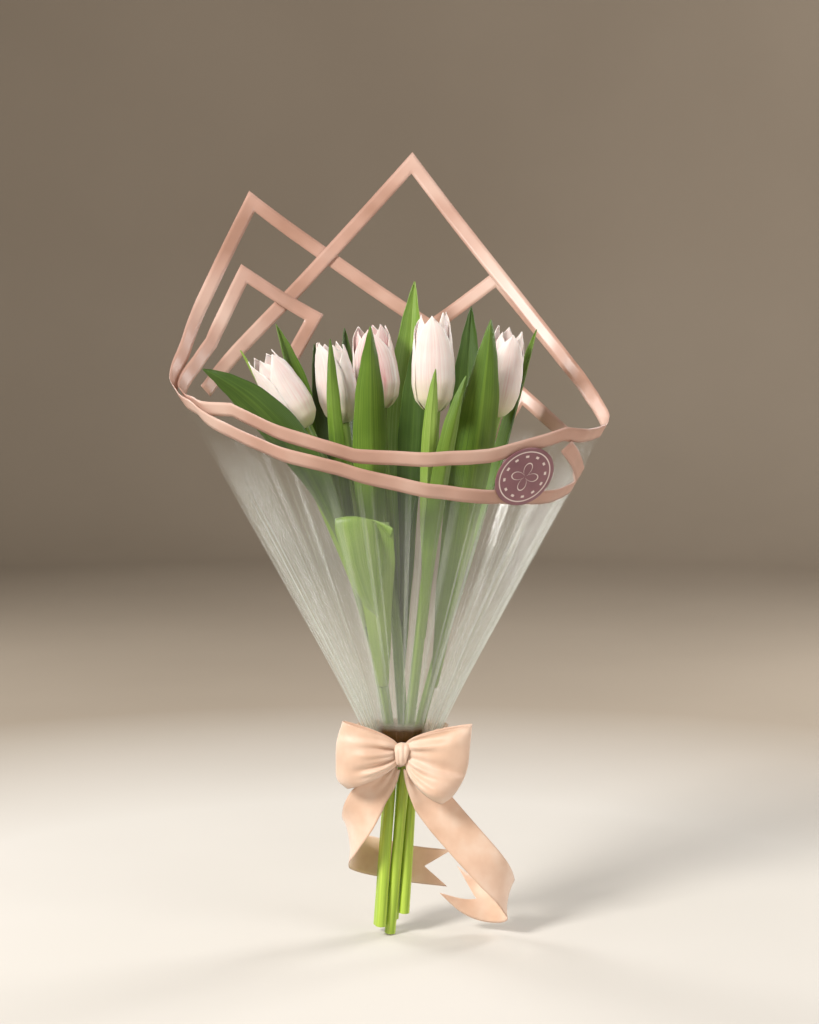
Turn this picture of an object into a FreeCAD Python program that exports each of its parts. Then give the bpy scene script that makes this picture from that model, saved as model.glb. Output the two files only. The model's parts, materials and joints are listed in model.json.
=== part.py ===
import FreeCAD, Part
import Sketcher
import math
import os

# Hand-tied bouquet of five tulips in a clear film cone, closed with a satin ribbon bow.
# Millimetres. +Z is up, +X the viewer's right, +Y the back. The origin is the middle of the
# longest stem's cut end, in the middle of the bundle, on the plane that the bouquet rests on.

Vector = FreeCAD.Vector
X_AXIS = Vector(1, 0, 0)
Y_AXIS = Vector(0, 1, 0)
Z_AXIS = Vector(0, 0, 1)

SIZES = {
    "tie_height": 124.0,
    "tie_shift": 8.0,
    "stem_radius": 3.6,
    "stem_ring": 7.7,
    "foot_ring": 8.6,
    "petal_thickness": 1.0,
    "petal_gap": 0.4,
    "leaf_thickness": 0.9,
    "film_thickness": 0.8,
    "film_gap": 0.5,
    "wrap_bottom": 118.0,
    "wrap_top": 520.0,
    "cone_apex": 103.0,
    "cone_flare_x": 0.554,
    "cone_flare_y": 0.35,
    "cone_drift_y": 0.05,
    "neck_half_width": 14.5,
    "neck_half_depth": 13.5,
    "ribbon_width": 25.0,
    "ribbon_thickness": 0.7,
    "ribbon_band_height": 12.0,
    "ribbon_band_gap": 0.4,
    "binding_inner_radius": 12.65,
    "binding_thickness": 1.05,
    "binding_height": 6.0,
    "knot_height": 14.0,
    "knot_half_width": 4.4,
    "knot_half_depth": 3.6,
    "seal_radius": 20.0,
    "seal_thickness": 0.5,
    "seal_gap": 0.4,
    "pistil_radius": 2.0,
    "pistil_height": 16.0,
    "filament_radius": 0.5,
    "filament_height": 6.5,
    "filament_start": 2.5,
    "anther_radius": 0.9,
    "anther_height": 9.0,
    "stamen_ring": 3.4,
}

doc = FreeCAD.newDocument("TulipBouquet")
sheet = doc.addObject("Spreadsheet::Sheet", "Sizes")
for row, (alias, value) in enumerate(SIZES.items(), start=1):
    sheet.set("A%d" % row, alias)
    sheet.set("B%d" % row, str(value))
    sheet.setAlias("B%d" % row, alias)
doc.recompute()

parts = []


def size(alias):
    """A driving dimension, read from the spreadsheet."""
    return float(sheet.get(alias))


def keep(label, obj):
    """Register obj as the sub-part that is written under this label."""
    obj.Label = label
    parts.append(obj)
    return obj


def shape_part(label, shape, placement=None):
    """A sub-part whose free-form shape is made with Part's own functions."""
    obj = doc.addObject("Part::Feature", label)
    obj.Shape = shape
    if placement is not None:
        obj.Placement = placement
    return keep(label, obj)


def polar(radius, azimuth, height):
    """A point at an azimuth in degrees from +X towards +Y."""
    angle = math.radians(azimuth)
    return Vector(radius * math.cos(angle), radius * math.sin(angle), height)


def unit(vector):
    result = Vector(vector)
    result.normalize()
    return result


def lerp(first, second, fraction):
    return first + (second - first) * fraction


# ---------------------------------------------------------------- the leaning bundle
# The bundle leans a little to the right on its way up to the tie. The tulips are drawn out
# along that lean, so they are modelled upright and then tipped over as one.
LEAN_DEG = math.degrees(math.atan2(size("tie_shift"), size("tie_height")))
LEAN = FreeCAD.Placement(Vector(0, 0, 0), FreeCAD.Rotation(Y_AXIS, LEAN_DEG))


def loft(sections):
    return Part.makeLoft(sections, True, False)


def closed_wire(first_side, second_side):
    """A closed outline from two splines that run side by side."""
    front = Part.BSplineCurve()
    front.interpolate(first_side)
    back = Part.BSplineCurve()
    back.interpolate(second_side)
    edges = [
        front.toShape(),
        Part.makeLine(first_side[-1], second_side[-1]),
        back.toShape(),
        Part.makeLine(second_side[0], first_side[0]),
    ]
    return Part.Wire(Part.__sortEdges__(edges))


# ---------------------------------------------------------------- film wrap
SECTION_HEIGHTS = (140.0, 170.0, 220.0, 290.0, 370.0, 450.0)


def cone_ellipse(name, height, offset):
    """One level section of the wrap's cone, grown outwards by the expression in offset."""
    rise = "(%s - Sizes.cone_apex)" % height
    ellipse = doc.addObject("Part::Ellipse", name)
    width = "sqrt((Sizes.cone_flare_x * %s)^2 + Sizes.neck_half_width^2) + %s"
    depth = "sqrt((Sizes.cone_flare_y * %s)^2 + Sizes.neck_half_depth^2) + %s"
    ellipse.setExpression("MajorRadius", width % (rise, offset))
    ellipse.setExpression("MinorRadius", depth % (rise, offset))
    ellipse.setExpression("Placement.Base.x", "Sizes.tie_shift")
    ellipse.setExpression("Placement.Base.y", "0 - Sizes.cone_drift_y * %s" % rise)
    ellipse.setExpression("Placement.Base.z", height)
    return ellipse


def cone_solid(name, offset, bottom, top, heights):
    levels = [bottom] + [str(height) for height in heights] + [top]
    rings = []
    for index, height in enumerate(levels):
        rings.append(cone_ellipse("%sRing%d" % (name, index), height, offset))
    solid = doc.addObject("Part::Loft", name)
    solid.Sections = rings
    solid.Solid = True
    solid.Ruled = False
    return solid


def cone_shell(name, inner, outer, bottom, top, heights):
    """A tube of the cone's shape between two offsets from its inner face."""
    shell = doc.addObject("Part::Cut", name)
    shell.Base = cone_solid(name + "Outer", outer, bottom, top, heights)
    shell.Tool = cone_solid(name + "Inner", inner, bottom, top, heights)
    return shell


# The wrap's sides meet at this depth, where front and back outlines take over.
SIDE_Y = -12.0
REACH = 300.0
CLEAR_HEIGHT = 620.0


def prism(name, outline, towards_back):
    """A front-view outline (x, z) swept from the wrap's sides to its back or its front."""
    polygon = doc.addObject("Part::Polygon", name + "Outline")
    polygon.Nodes = [Vector(x, SIDE_Y, z) for x, z in outline]
    polygon.Close = True
    block = doc.addObject("Part::Extrusion", name)
    block.Base = polygon
    block.DirMode = "Custom"
    block.Dir = Y_AXIS if towards_back else Y_AXIS * -1.0
    block.LengthFwd = REACH
    block.Solid = True
    return block


def above(rim):
    """The outline of everything above a rim line given from left to right."""
    left = (-REACH, rim[0][1])
    right = (REACH, rim[-1][1])
    return [left] + list(rim) + [right, (REACH, CLEAR_HEIGHT), (-REACH, CLEAR_HEIGHT)]


def trimmed(name, shell, back_rim, front_rim):
    """The shell with everything above its back and front rim lines cut away."""
    back_cut = doc.addObject("Part::Cut", name + "BackCut")
    back_cut.Base = shell
    back_cut.Tool = prism(name + "BackWaste", above(back_rim), True)
    cut = doc.addObject("Part::Cut", name + "FrontCut")
    cut.Base = back_cut
    cut.Tool = prism(name + "FrontWaste", above(front_rim), False)
    return cut


def outer_film_sheet():
    """The outer sheet: two corners at the back, and the lower rim and a corner in front."""
    inner = "Sizes.film_thickness + Sizes.film_gap"
    outer = "2 * Sizes.film_thickness + Sizes.film_gap"
    shell = cone_shell("OuterFilm", inner, outer, "Sizes.wrap_bottom", "Sizes.wrap_top",
                       SECTION_HEIGHTS)
    back_rim = [(-137, 361), (-141, 381), (-95, 488), (27, 401), (73, 435), (139, 348)]
    front_rim = [(-137, 361), (-118, 351), (-28, 317), (69, 299), (122, 300), (139, 348)]
    keep("outer_film_sheet", trimmed("OuterFilm", shell, back_rim, front_rim))


def inner_film_sheet():
    """The inner sheet: the tall back corner, the upper rim, and a corner tucked in left."""
    shell = cone_shell("InnerFilm", "0", "Sizes.film_thickness", "Sizes.wrap_bottom",
                       "Sizes.wrap_top", SECTION_HEIGHTS)
    back_rim = [(-128, 354), (15, 516), (139, 348)]
    front_rim = [(-128, 354), (-96, 351), (-20, 325), (60, 325), (108, 335), (139, 348)]
    ring = trimmed("InnerFilm", shell, back_rim, front_rim)
    lining = cone_shell("TuckedLining", "(0 - Sizes.film_thickness)", "0.2", "240",
                        "Sizes.wrap_top", SECTION_HEIGHTS[3:])
    corner = [(-160, 250), (-160, 340), (-125, 352), (-120, 390), (-100, 437), (-45, 403),
              (-63, 369), (-63, 250)]
    tucked = doc.addObject("Part::Common", "TuckedCorner")
    tucked.Base = lining
    tucked.Tool = prism("TuckedCornerBlock", corner, True)
    whole = doc.addObject("Part::Fuse", "InnerFilmWhole")
    whole.Base = ring
    whole.Tool = tucked
    keep("inner_film_sheet", whole)


# ---------------------------------------------------------------- ribbon, band and seal
def ribbon_band():
    """The turn of ribbon that gathers the film at the neck."""
    inner = "2 * Sizes.film_thickness + Sizes.film_gap + Sizes.ribbon_band_gap"
    outer = inner + " + Sizes.ribbon_thickness"
    bottom = "Sizes.wrap_bottom + 1"
    top = "Sizes.wrap_bottom + 1 + Sizes.ribbon_band_height"
    keep("ribbon_band", cone_shell("RibbonBand", inner, outer, bottom, top, (125.0,)))


def plane_of(body, role):
    for feature in body.Origin.OriginFeatures:
        if feature.Role == role:
            return feature
    raise ValueError("no origin plane " + role)


def sketch_on(body, name, role):
    sketch = body.newObject("Sketcher::SketchObject", name)
    sketch.AttachmentSupport = [(plane_of(body, role), "")]
    sketch.MapMode = "FlatFace"
    return sketch


def named_radius(sketch, circle, name, expression):
    """Centre a circle of the sketch on its origin and bind its radius to the sheet."""
    sketch.addConstraint(Sketcher.Constraint("Coincident", circle, 3, -1, 1))
    index = sketch.addConstraint(Sketcher.Constraint("Radius", circle, 1.0))
    sketch.renameConstraint(index, name)
    sketch.setExpression("Constraints." + name, expression)


def disc_body(label, radii, height, placement):
    """A padded disc, or a ring when radii holds an outer and an inner radius."""
    body = doc.addObject("PartDesign::Body", label)
    sketch = sketch_on(body, label + "_outline", "XY_Plane")
    for index, expression in enumerate(radii):
        circle = Part.Circle(Vector(0, 0, 0), Z_AXIS, 10.0 / (index + 1))
        sketch.addGeometry(circle, False)
        named_radius(sketch, index, "radius%s" % "ab"[index], expression)
    pad = body.newObject("PartDesign::Pad", label + "_pad")
    pad.Profile = sketch
    pad.setExpression("Length", height)
    body.Placement = placement
    return keep(label, body)


def binding_band():
    """The rubber band that holds the stems, hidden inside the gathered film."""
    start = size("tie_height") - size("binding_height") / 2
    placement = LEAN.multiply(FreeCAD.Placement(Vector(0, 0, start), FreeCAD.Rotation()))
    radii = ("Sizes.binding_inner_radius + Sizes.binding_thickness",
             "Sizes.binding_inner_radius")
    disc_body("binding_band", radii, "Sizes.binding_height", placement)


def cone_point(azimuth, height, offset):
    """A point offset outwards from the cone, and the cone's outward normal there."""
    rise = height - size("cone_apex")

    def surface(angle, level):
        half_width = math.hypot(size("cone_flare_x") * level, size("neck_half_width"))
        half_depth = math.hypot(size("cone_flare_y") * level, size("neck_half_depth"))
        return Vector(size("tie_shift") + half_width * math.cos(angle),
                      half_depth * math.sin(angle) - size("cone_drift_y") * level,
                      level + size("cone_apex"))

    angle = math.radians(azimuth)
    here = surface(angle, rise)
    around = surface(angle + 0.01, rise) - here
    upward = surface(angle, rise + 1.0) - here
    normal = unit(around.cross(upward))
    return here + normal * offset, normal


SEAL_AZIMUTH = -49.0
SEAL_HEIGHT = 307.0


def seal_sticker():
    """The round paper seal across both rims on the front right."""
    film = 2 * size("film_thickness") + size("film_gap")
    point, normal = cone_point(SEAL_AZIMUTH, SEAL_HEIGHT, film + size("seal_gap"))
    rotation = FreeCAD.Rotation(Z_AXIS, normal)
    disc_body("seal_sticker", ("Sizes.seal_radius",), "Sizes.seal_thickness",
              FreeCAD.Placement(point, rotation))


# The bow's middle: in front of the tie, just clear of the ribbon band.
KNOT_X = size("tie_shift")
KNOT_Y = -25.4
OVAL_POINTS = 10


def rounded_section(centre, along, across, half_along, half_across):
    """A closed oval in the plane of two directions, with these half sizes."""
    points = []
    for index in range(OVAL_POINTS):
        angle = 2 * math.pi * index / OVAL_POINTS
        points.append(centre + along * (half_along * math.cos(angle))
                      + across * (half_across * math.sin(angle)))
    curve = Part.BSplineCurve()
    curve.interpolate(points, PeriodicFlag=True)
    return Part.Wire([curve.toShape()])


def bow_knot():
    """The tight turn of ribbon in the middle of the bow: waisted, and taller than wide."""
    half_height = size("knot_height") / 2
    centre_z = size("tie_height") + 1.0
    sections = []
    for step, grow in ((-1.0, 0.80), (-0.5, 1.0), (0.0, 0.92), (0.5, 1.0), (1.0, 0.80)):
        centre = Vector(KNOT_X, KNOT_Y, centre_z + step * half_height)
        half_width = size("knot_half_width") * grow
        half_depth = size("knot_half_depth") * grow
        sections.append(rounded_section(centre, X_AXIS, Y_AXIS, half_width, half_depth))
    shape_part("bow_knot", loft(sections))


def bow_loop(label, side, stations):
    """A puffed loop of ribbon from the knot outwards.

    stations: (distance from the knot, centre height, half depth, half height).
    """
    sections = []
    for reach, height, half_depth, half_height in stations:
        centre = Vector(KNOT_X + side * reach, KNOT_Y - 1.0, height)
        sections.append(rounded_section(centre, Y_AXIS, Z_AXIS, half_depth, half_height))
    shape_part(label, loft(sections))


def bow_loops():
    tie = size("tie_height")
    left = [(5.2, tie + 1, 1.8, 4.5), (14, tie + 3, 5.5, 10), (28, tie + 2, 8.0, 17),
            (38, tie + 1, 7.0, 20), (42.5, tie + 1, 3.0, 18)]
    right = [(5.2, tie + 1, 1.8, 4.5), (14, tie - 1, 5.5, 11), (28, tie - 4, 8.0, 19),
             (38, tie - 1, 7.0, 21), (43.5, tie + 6, 3.0, 14)]
    bow_loop("bow_loop_left", -1, left)
    bow_loop("bow_loop_right", 1, right)


STRIP_STEPS = 26


def spline_through(points):
    curve = Part.BSplineCurve()
    curve.interpolate([Vector(*point) for point in points])
    return curve


def ribbon_strip(centres, directions, widths):
    """A flat ribbon along a spline; directions run across it at the same stations."""
    middle = spline_through(centres)
    turning = spline_through(directions)
    half_thickness = size("ribbon_thickness") / 2
    sections = []
    for step in range(STRIP_STEPS + 1):
        fraction = step / STRIP_STEPS
        at = lerp(middle.FirstParameter, middle.LastParameter, fraction)
        along = middle.tangent(at)[0]
        turn = turning.value(lerp(turning.FirstParameter, turning.LastParameter, fraction))
        across = unit(turn - along * turn.dot(along))
        slot = fraction * (len(widths) - 1)
        low = min(int(slot), len(widths) - 2)
        width = lerp(widths[low], widths[low + 1], slot - low)
        side = across * (width / 2)
        normal = along.cross(across) * half_thickness
        centre = middle.value(at)
        corners = [centre - side - normal, centre + side - normal,
                   centre + side + normal, centre - side + normal]
        sections.append(Part.makePolygon(corners + [corners[0]]))
    return Part.makeLoft(sections, True, True)


def ribbon_tail_left():
    """The tail that hangs behind the left loop, rolls back and passes behind the stems."""
    full = size("ribbon_width")
    centres = [(3.5, -23, 115), (-3, -19, 106), (-14, -17, 93), (-20, -17, 80),
               (-24, -13, 69), (-25.5, -2, 59), (-20, 9, 52), (-5, 16, 46), (15, 19, 41),
               (39.5, 20, 38)]
    directions = [(0.9, 0, -0.45), (0.9, -0.01, -0.44), (0.9, -0.05, -0.45),
                  (0.75, -0.45, -0.5), (0.4, -0.75, -0.55), (0, -0.8, -0.6),
                  (-0.35, -0.5, -0.8), (-0.3, -0.1, -0.95), (-0.15, 0, -1), (0.15, 0, -1)]
    strip = ribbon_strip(centres, directions, [9, 16, 24] + [full] * 7)
    shape_part("ribbon_tail_left", strip)


def ribbon_tail_right():
    """The tail that falls to the right behind its loop, and rolls under to the stems."""
    full = size("ribbon_width")
    centres = [(13, -23, 115), (18, -19, 106), (26, -17, 94), (36, -17, 81), (50, -17, 64.5),
               (64, -16, 48), (74.5, -10, 33), (77, -2, 23), (67, 5, 18.5), (53, 8, 23),
               (39, 9, 34)]
    directions = [(0.85, 0, 0.55), (0.8, 0.05, 0.6), (0.76, 0.05, 0.65), (0.76, 0.1, 0.65),
                  (0.74, 0.2, 0.65), (0.65, 0.4, 0.65), (0.4, 0.62, 0.68), (0.2, 0.5, 0.84),
                  (-0.15, 0.25, 0.95), (0.2, 0.5, 0.85), (0.65, 0.65, 0.39)]
    strip = ribbon_strip(centres, directions, [9, 16, 24] + [full] * 8)
    shape_part("ribbon_tail_right", strip)


# ---------------------------------------------------------------- tulips
# Each stem is made this much too long at its foot, and then cut level.
OFFCUT_LENGTH = 6.0
OFFCUT_BOX = 60.0


class Tulip:
    """One tulip in the upright bundle: where its stem runs, its bloom and its leaves.

    azimuth is the stem's place round the tie; foot holds its distance from the middle as a
    share of the foot ring, and the height of its cut end.
    """

    def __init__(self, name, azimuth, foot, base, tip, bloom_radius, leaves):
        self.name = name
        self.azimuth = azimuth
        self.foot_share, self.foot_height = foot
        self.base = Vector(*base)
        self.tip = Vector(*tip)
        self.bloom_radius = bloom_radius
        self.leaves = leaves

    def axis(self):
        return unit(self.tip - self.base)

    def poles(self):
        """The control points of the stem's middle line, from its foot to the receptacle."""
        below = polar(size("foot_ring") * self.foot_share, self.azimuth,
                      self.foot_height - OFFCUT_LENGTH)
        tie = polar(size("stem_ring"), self.azimuth, size("tie_height"))
        reach = self.base - tie
        near_bloom = self.base - self.axis() * (reach.Length * 0.25)
        return [below, lerp(below, tie, 0.8), tie, lerp(tie, near_bloom, 0.08),
                lerp(tie, near_bloom, 0.5), near_bloom, self.base]

    def curve(self):
        spline = Part.BSplineCurve()
        spline.buildFromPoles(self.poles())
        return spline

    def at_height(self, height):
        """The point of the stem's middle line at a height."""
        spline = self.curve()
        low, high = spline.FirstParameter, spline.LastParameter
        for _ in range(40):
            middle = (low + high) / 2
            if spline.value(middle).z < height:
                low = middle
            else:
                high = middle
        return spline.value(low)


STEM_STATIONS = 18


def stem(tulip):
    """A round stem along its curve, cut square to the plane that the bouquet rests on."""
    curve = tulip.curve()
    rounds = []
    for index in range(STEM_STATIONS):
        fraction = index / (STEM_STATIONS - 1)
        at = lerp(curve.FirstParameter, curve.LastParameter, fraction)
        outline = doc.addObject("Part::Circle", "%s_round%d" % (tulip.name, index))
        outline.setExpression("Radius", "Sizes.stem_radius")
        across = FreeCAD.Rotation(Z_AXIS, curve.tangent(at)[0])
        outline.Placement = FreeCAD.Placement(curve.value(at), across)
        rounds.append(outline)
    rod = doc.addObject("Part::Loft", tulip.name + "_rod")
    rod.Sections = rounds
    rod.Solid = True
    rod.Ruled = True
    waste = doc.addObject("Part::Box", tulip.name + "_offcut")
    waste.Length = OFFCUT_BOX
    waste.Width = OFFCUT_BOX
    waste.Height = OFFCUT_BOX
    level = FreeCAD.Rotation(Y_AXIS, -LEAN_DEG)
    half = OFFCUT_BOX / 2
    corner = level.multVec(Vector(-half, -half, tulip.foot_height - OFFCUT_BOX))
    waste.Placement = FreeCAD.Placement(corner, level)
    cut = doc.addObject("Part::Cut", tulip.name + "_stem")
    cut.Base = rod
    cut.Tool = waste
    cut.Placement = LEAN
    keep(tulip.name + "_stem", cut)


def bloom_placement(tulip, spin):
    """Places a bloom piece built on +Z at the stem's top, turned about its own axis."""
    tip_over = FreeCAD.Rotation(Z_AXIS, tulip.axis())
    turn = FreeCAD.Rotation(Z_AXIS, spin)
    local = FreeCAD.Placement(tulip.base, tip_over.multiply(turn))
    return LEAN.multiply(local)


# How a closed petal's radius and half angle change from its foot (0) to its tip (1).
PETAL_PROFILE = ((0.0, 0.42, 40), (0.10, 0.74, 52), (0.30, 1.0, 57), (0.52, 0.98, 55),
                 (0.72, 0.84, 47), (0.88, 0.66, 32), (1.0, 0.50, 9))


def petal(length, radius, inset, thickness):
    """One cupped petal whose middle faces +X, inset from the bloom's own outline."""
    sections = []
    for height, share, half_angle in PETAL_PROFILE:
        sides = []
        for depth in (inset, inset + thickness):
            sides.append([polar(share * radius - depth, half_angle * step / 3, height * length)
                          for step in range(-3, 4)])
        sections.append(closed_wire(*sides))
    return loft(sections)


def petal_ring(length, radius, inset, thickness):
    """Three petals around the bloom's axis."""
    first = petal(length, radius, inset, thickness)
    ring = []
    for index in range(3):
        turned = first.copy()
        turned.rotate(Vector(0, 0, 0), Z_AXIS, 120 * index)
        ring.append(turned)
    return Part.makeCompound(ring)


# The petals start this far above the stem's end.
BLOOM_LIFT = 1.0


def petals(tulip, spin):
    thickness = size("petal_thickness")
    length = (tulip.tip - tulip.base).Length - BLOOM_LIFT
    lift = Vector(0, 0, BLOOM_LIFT)
    outer = petal_ring(length, tulip.bloom_radius, 0.0, thickness)
    outer.translate(lift)
    shape_part(tulip.name + "_outer_petals", outer, bloom_placement(tulip, spin))
    inset = thickness + size("petal_gap")
    inner = petal_ring(length, tulip.bloom_radius, inset, thickness)
    inner.translate(lift)
    shape_part(tulip.name + "_inner_petals", inner, bloom_placement(tulip, spin + 60))


def polyline_sketch(body, name, points):
    """A closed polyline in the body's XZ plane."""
    sketch = sketch_on(body, name, "XZ_Plane")
    for index, (first, second) in enumerate(zip(points, points[1:] + points[:1])):
        line = Part.LineSegment(Vector(first[0], first[1], 0), Vector(second[0], second[1], 0))
        sketch.addGeometry(line, False)
    return sketch


def revolved(body, name, points):
    """Turns a half outline about the body's own Z axis."""
    sketch = polyline_sketch(body, name + "_outline", points)
    turn = body.newObject("PartDesign::Revolution", name + "_turned")
    turn.Profile = sketch
    turn.ReferenceAxis = (sketch, ["V_Axis"])
    turn.Angle = 360.0
    return turn


PISTIL_LIFT = 0.6


def pistil(tulip):
    """The column with its flared stigma in the middle of the bloom."""
    label = tulip.name + "_pistil"
    body = doc.addObject("PartDesign::Body", label)
    radius = size("pistil_radius")
    height = size("pistil_height")
    start = PISTIL_LIFT
    half_outline = [(0, start), (radius * 0.8, start), (radius, height * 0.4),
                    (radius * 0.8, height * 0.8), (radius * 1.15, height * 0.9),
                    (radius, height), (0, height)]
    revolved(body, label, half_outline)
    body.Placement = bloom_placement(tulip, 0)
    keep(label, body)


STAMEN_COUNT = 6
ANTHER_OVERLAP = 1.0


def stamens(tulip):
    """Six thin filaments with long anthers round the pistil."""
    label = tulip.name + "_stamens"
    filament = doc.addObject("Part::Cylinder", label + "_filament")
    filament.setExpression("Radius", "Sizes.filament_radius")
    filament.setExpression("Height", "Sizes.filament_height")
    filament.setExpression("Placement.Base.x", "Sizes.stamen_ring")
    filament.setExpression("Placement.Base.z", "Sizes.filament_start")
    anther = doc.addObject("Part::Ellipsoid", label + "_anther")
    anther.setExpression("Radius1", "Sizes.anther_height / 2")
    anther.setExpression("Radius2", "Sizes.anther_radius")
    anther.setExpression("Radius3", "Sizes.anther_radius")
    anther.setExpression("Placement.Base.x", "Sizes.stamen_ring")
    filament_top = "Sizes.filament_start + Sizes.filament_height"
    middle = "%s + Sizes.anther_height / 2 - %g" % (filament_top, ANTHER_OVERLAP)
    anther.setExpression("Placement.Base.z", middle)
    one = doc.addObject("Part::Fuse", label + "_one")
    one.Base = filament
    one.Tool = anther
    doc.recompute()
    ring = []
    for index in range(STAMEN_COUNT):
        copy = one.Shape.copy()
        copy.rotate(Vector(0, 0, 0), Z_AXIS, 360.0 * index / STAMEN_COUNT)
        ring.append(copy)
    shape_part(label, Part.makeCompound(ring), bloom_placement(tulip, 0))


# How a leaf's width and its hollow change from its foot (0) to its tip (1).
LEAF_PROFILE = ((0.0, 0.30), (0.12, 0.52), (0.30, 0.86), (0.50, 1.0), (0.70, 0.84),
                (0.86, 0.50), (0.96, 0.20), (1.0, 0.07))
LEAF_HOLLOW = 0.16
LEAF_STAND_OFF = 1.9
FINE_STATIONS = 24


def leaf_share(fraction):
    """The leaf's width at a fraction of its length, as a share of its full width."""
    for (start, low), (end, high) in zip(LEAF_PROFILE, LEAF_PROFILE[1:]):
        if fraction <= end:
            return lerp(low, high, (fraction - start) / (end - start))
    return LEAF_PROFILE[-1][1]


def leaf_solid(poles, side, width):
    """A blade along a Bezier middle line; side is the level direction across it."""
    curve = Part.BezierCurve()
    curve.setPoles(poles)
    thickness = size("leaf_thickness")
    doubled_over = len(poles) > 3
    stations = FINE_STATIONS if doubled_over else len(LEAF_PROFILE) + 1
    sections = []
    for index in range(stations):
        fraction = index / (stations - 1)
        share = leaf_share(fraction)
        centre = curve.value(fraction)
        along = curve.tangent(fraction)[0]
        across = unit(side - along * side.dot(along))
        hollow = unit(across.cross(along)) * -1.0
        half_width = width * share / 2
        top = []
        bottom = []
        for step in (-1.0, -0.5, 0.0, 0.5, 1.0):
            sag = hollow * (LEAF_HOLLOW * 2 * half_width * step * step)
            point = centre + across * (half_width * step) + sag
            edge = hollow * (thickness * (0.35 if abs(step) == 1.0 else 0.5))
            top.append(point + edge)
            bottom.append(point - edge)
        sections.append(closed_wire(top, bottom))
    return Part.makeLoft(sections, True, doubled_over)


def leaf(tulip, place, base_height, azimuth, width, *bends_and_tip):
    """A leaf that leaves the stem's side at an azimuth and bends on its way to its tip."""
    outward = polar(1.0, azimuth, 0)
    start = tulip.at_height(base_height) + outward * (size("stem_radius") + LEAF_STAND_OFF)
    poles = [start] + [Vector(*point) for point in bends_and_tip]
    blade = leaf_solid(poles, Z_AXIS.cross(outward), width)
    shape_part("%s_leaf_%s" % (tulip.name, place), blade, LEAN)


# Every tulip and its leaves keep to their own sector of the bundle, so that one can be
# drawn out past its neighbours. Points are in the upright bundle.
TULIPS = [
    Tulip("tulip_left", 222, (1.0, 6.0), (-74, -9, 329), (-105, -10, 375), 12.5, [
        ("lower", 203.0, 208, 29.0, (-62, -46, 334), (-139, -42, 363)),
        ("middle", 215.0, 250, 12.0, (-57, -20, 300), (-62, -13, 386)),
        ("upper", 188.0, 302, 23.0, (-32, -23, 300), (-37, -29, 396)),
        ("folded", 165.0, 276, 31.0, (-22, -36, 245), (-44, -60, 345), (-28, -56, 250),
         (-20, -38, 214)),
    ]),
    Tulip("tulip_mid_left", 150, (1.0, 4.0), (-51, 12, 332), (-64, 12, 385), 12.5, [
        ("lower", 180.0, 138, 20.0, (-72, 44, 320), (-100, 38, 392)),
        ("middle", 205.0, 188, 13.0, (-76, 20, 305), (-121, 18, 374)),
        ("upper", 225.0, 110, 14.0, (-62, 32, 310), (-74, 30, 381)),
    ]),
    Tulip("tulip_back", 78, (1.0, 7.0), (-28, 44, 341), (-36, 46, 397), 13.5, [
        ("lower", 170.0, 80, 26.0, (-12, 56, 300), (-11, 69, 426)),
        ("middle", 200.0, 20, 13.0, (-6, 30, 300), (-7, 26, 393)),
        ("upper", 215.0, 165, 13.0, (-49, 61, 320), (-56, 68, 392)),
    ]),
    Tulip("tulip_front", 294, (0.0, 0.0), (6, -36, 346), (1, -37, 408), 13.5, [
        ("lower", 200.0, 300, 15.0, (10, -66, 300), (24, -58, 370)),
        ("upper", 230.0, 270, 10.0, (2, -62, 320), (5, -56, 373)),
    ]),
    Tulip("tulip_right", 6, (1.0, 13.0), (46, 6, 343), (53, 5, 401), 12.5, [
        ("lower", 165.0, 320, 29.0, (35, -32, 290), (38, -28, 405)),
        ("middle", 190.0, 60, 16.0, (30, 38, 320), (27, 40, 412)),
        ("upper", 215.0, 40, 12.0, (58, 30, 335), (70, 26, 400)),
    ]),
]


def build_tulip(tulip, spin):
    stem(tulip)
    petals(tulip, spin)
    pistil(tulip)
    stamens(tulip)
    for details in tulip.leaves:
        leaf(tulip, *details)


def check_and_export():
    """Stop on any failed object or bad shape, then write one STEP file for each part."""
    doc.recompute()
    for obj in doc.Objects:
        if "Invalid" in obj.State or "Error" in obj.State:
            raise RuntimeError("%s failed: %s" % (obj.Name, obj.State))
    os.makedirs("parts", exist_ok=True)
    for obj in parts:
        if obj.Shape.isNull() or not obj.Shape.isValid():
            raise RuntimeError("%s has a bad shape" % obj.Label)
        if not obj.Shape.Solids:
            raise RuntimeError("%s has no solid" % obj.Label)
    for obj in parts:
        obj.Shape.exportStep(os.path.join("parts", obj.Label + ".step"))


outer_film_sheet()
inner_film_sheet()
binding_band()
ribbon_band()
bow_knot()
bow_loops()
ribbon_tail_left()
ribbon_tail_right()
seal_sticker()
for index, tulip in enumerate(TULIPS):
    build_tulip(tulip, 90 + 25 * index)
check_and_export()
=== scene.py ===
import json
from bisect import bisect_right
from collections import namedtuple
from math import acos, atan2, cos, exp, floor, hypot, pi, radians, sin, tau

import bpy
from mathutils import Matrix, Vector, noise


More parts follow.
